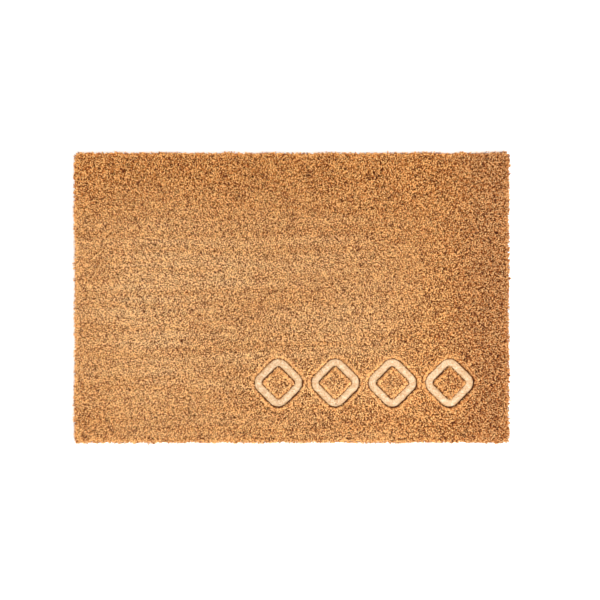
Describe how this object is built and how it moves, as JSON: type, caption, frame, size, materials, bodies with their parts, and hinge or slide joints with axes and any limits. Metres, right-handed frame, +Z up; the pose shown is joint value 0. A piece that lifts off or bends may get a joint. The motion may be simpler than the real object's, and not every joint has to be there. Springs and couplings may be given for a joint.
{
  "type": "door mat",
  "caption": "Rectangular coir door mat with a PVC backing and a row of rounded lozenge outlines pressed into the pile near one corner.",
  "frame": {"origin": "middle of the underside, on the floor", "axes": "+X along the long side, towards the end that carries the lozenges; +Y across the mat, away from the long side that the lozenges are near; +Z up, out of the pile"},
  "size_m": [0.6, 0.4, 0.015],
  "materials": {
    "backing": "matt beige PVC sheet, lightly dimpled underneath",
    "coir_pile": "cut coconut-fibre pile, dry and matt",
    "pressed_skin": "coir fibres fused into a smooth cream skin with brown flecks"
  },
  "bodies": {
    "root": {"backing_sheet": "backing", "pile_field": "coir_pile", "lozenge_skin_1": "pressed_skin", "lozenge_centre_1": "coir_pile", "lozenge_skin_2": "pressed_skin", "lozenge_centre_2": "coir_pile", "lozenge_skin_3": "pressed_skin", "lozenge_centre_3": "coir_pile", "lozenge_skin_4": "pressed_skin", "lozenge_centre_4": "coir_pile"}
  },
  "joints": []
}
